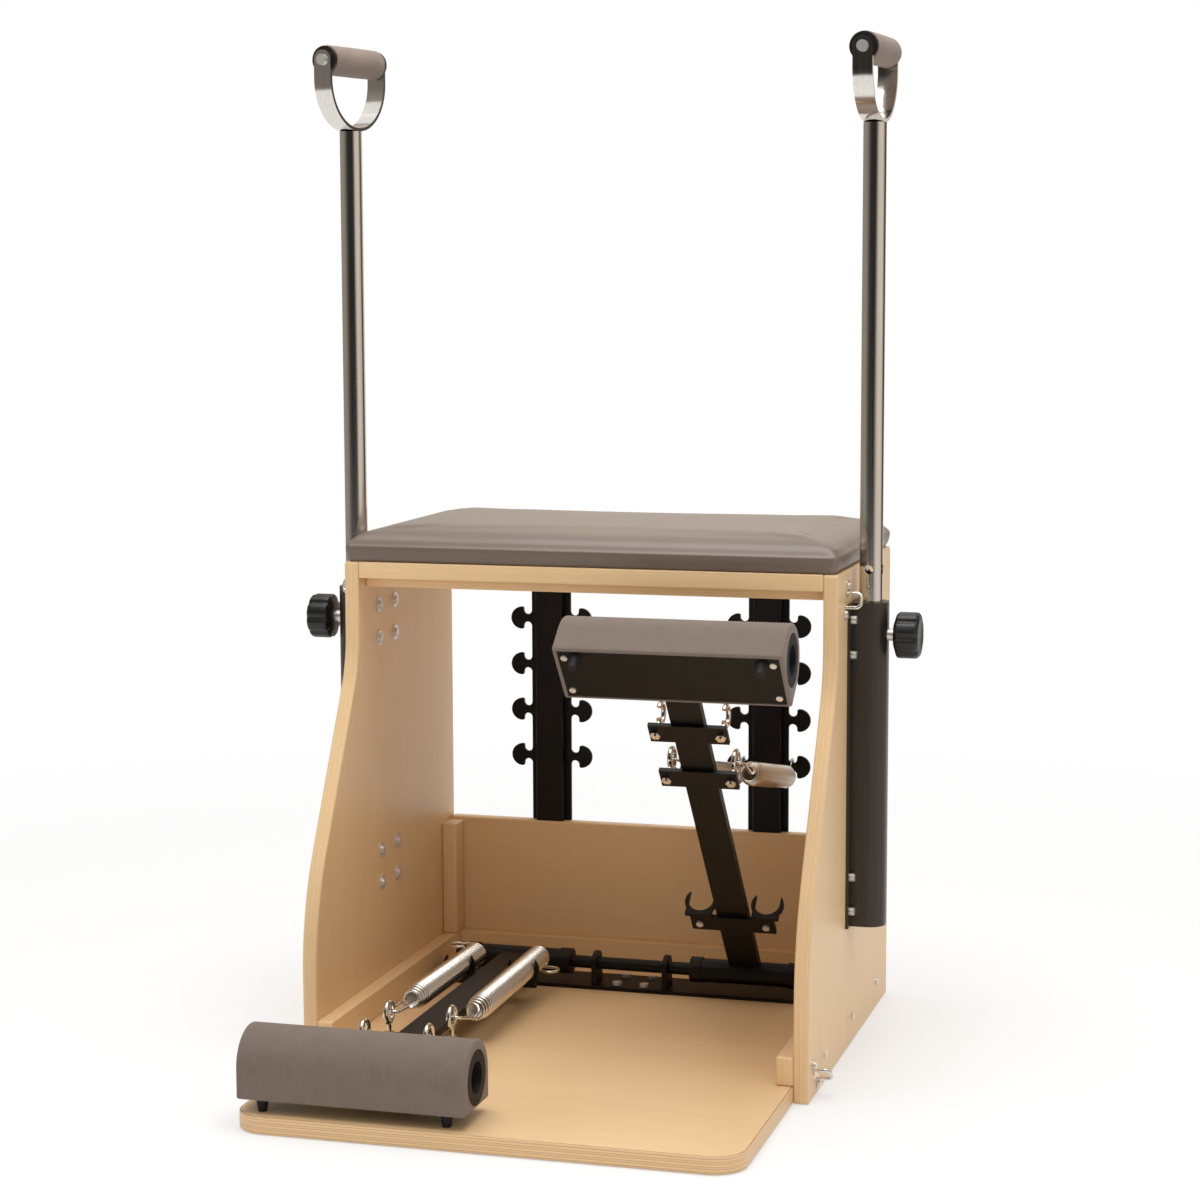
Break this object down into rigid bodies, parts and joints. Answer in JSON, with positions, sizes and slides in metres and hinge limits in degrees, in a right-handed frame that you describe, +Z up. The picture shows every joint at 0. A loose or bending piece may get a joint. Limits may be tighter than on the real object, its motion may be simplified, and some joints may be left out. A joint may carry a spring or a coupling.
{
  "type": "pilates chair",
  "caption": "Pilates chair: plywood box with vinyl seat, split sprung foot pedals, hook uprights and clamped height-adjustable handle poles.",
  "frame": {"origin": "centre of the base board's footprint, on the floor", "axes": "+Z up; -Y is the front, where the pedals are; +X is to the right seen from the front"},
  "size_m": [0.779, 0.7772, 1.218],
  "materials": {
    "wood": "satin",
    "vinyl": "matte",
    "foam": "matte",
    "black_metal": "satin",
    "black_extrusion": "satin",
    "steel": "polished",
    "black_plastic": "matte",
    "rubber": "matte"
  },
  "bodies": {
    "frame": {"side_panel_left": "wood", "side_panel_right": "wood", "base_board": "wood", "seat_board": "wood", "front_rail": "wood", "back_board": "wood", "base_batten_left": "wood", "base_batten_right": "wood", "base_batten_rear": "wood", "corner_battens": "wood", "seat_cushion": "vinyl", "post_left": "black_metal", "post_right": "black_metal", "hook_plate_left": "black_metal", "hook_plate_right": "black_metal", "pivot_base_plate": "black_metal", "pivot_bearings": "black_metal", "pivot_shaft": "black_metal", "pole_holder_left": "black_extrusion", "pole_holder_right": "black_extrusion", "machine_bolts": "steel", "panel_screws": "steel", "band_loops": "steel", "right_spring_inner": "steel", "right_spring_outer": "steel"},
    "left_pedal": {"left_arm": "black_metal", "left_pedal_core": "black_metal", "left_pedal_foam": "foam", "left_pedal_plate": "black_metal", "left_pedal_feet": "rubber", "left_pedal_fixings": "steel", "left_spring_brackets": "black_metal", "left_spring_eyes": "steel", "left_spring_outer": "steel", "left_spring_inner": "steel"},
    "right_pedal": {"right_arm": "black_metal", "right_pedal_core": "black_metal", "right_pedal_foam": "foam", "right_pedal_plate": "black_metal", "right_pedal_feet": "rubber", "right_pedal_fixings": "steel", "right_spring_brackets": "black_metal", "right_spring_eyes": "steel"},
    "left_bush": {"left_guide_bush": "black_plastic"},
    "left_handle": {"left_pole": "steel", "left_yoke": "steel", "left_grip_core": "black_plastic", "left_grip_foam": "foam", "left_grip_screws": "steel"},
    "left_clamp": {"left_clamp_screw": "steel"},
    "left_knob": {"left_clamp_knob": "black_plastic"},
    "right_bush": {"right_guide_bush": "black_plastic"},
    "right_handle": {"right_pole": "steel", "right_yoke": "steel", "right_grip_core": "black_plastic", "right_grip_foam": "foam", "right_grip_screws": "steel"},
    "right_clamp": {"right_clamp_screw": "steel"},
    "right_knob": {"right_clamp_knob": "black_plastic"}
  },
  "joints": [
    {"name": "left_pedal_swing", "type": "hinge", "parent": "frame", "child": "left_pedal", "pos_m": [-0.151, 0.2435, 0.051], "axis": [-1, 0, 0], "range_deg": [0, 58]},
    {"name": "right_pedal_swing", "type": "hinge", "parent": "frame", "child": "right_pedal", "pos_m": [0.151, 0.2435, 0.051], "axis": [-1, 0, 0], "range_deg": [-50.5, 7.5], "stiffness_Nm_per_rad": 90, "springref_deg": 7.22, "deforming": ["right_spring_inner", "right_spring_outer"]},
    {"name": "left_handle_turn", "type": "hinge", "parent": "frame", "child": "left_bush", "pos_m": [-0.329, 0.132, 0.509], "axis": [0, 0, 1], "continuous": true},
    {"name": "left_handle_slide", "type": "slide", "parent": "left_bush", "child": "left_handle", "axis": [0, 0, 1], "range_m": [-0.079, 0.158]},
    {"name": "left_clamp_slide", "type": "slide", "parent": "frame", "child": "left_clamp", "axis": [-1, 0, 0], "range_m": [0, 0.003]},
    {"name": "left_clamp_turn", "type": "hinge", "parent": "left_clamp", "child": "left_knob", "pos_m": [-0.37, 0.132, 0.509], "axis": [-1, 0, 0], "range_deg": [0, 540]},
    {"name": "right_handle_turn", "type": "hinge", "parent": "frame", "child": "right_bush", "pos_m": [0.329, 0.132, 0.509], "axis": [0, 0, 1], "continuous": true},
    {"name": "right_handle_slide", "type": "slide", "parent": "right_bush", "child": "right_handle", "axis": [0, 0, 1], "range_m": [-0.079, 0.158]},
    {"name": "right_clamp_slide", "type": "slide", "parent": "frame", "child": "right_clamp", "axis": [1, 0, 0], "range_m": [0, 0.003]},
    {"name": "right_clamp_turn", "type": "hinge", "parent": "right_clamp", "child": "right_knob", "pos_m": [0.37, 0.132, 0.509], "axis": [1, 0, 0], "range_deg": [0, 540]}
  ],
  "couplings": [
    {"joint": "left_clamp_slide", "follows": "left_clamp_turn", "m_per_rad": 0.00031831},
    {"joint": "right_clamp_slide", "follows": "right_clamp_turn", "m_per_rad": 0.00031831}
  ]
}
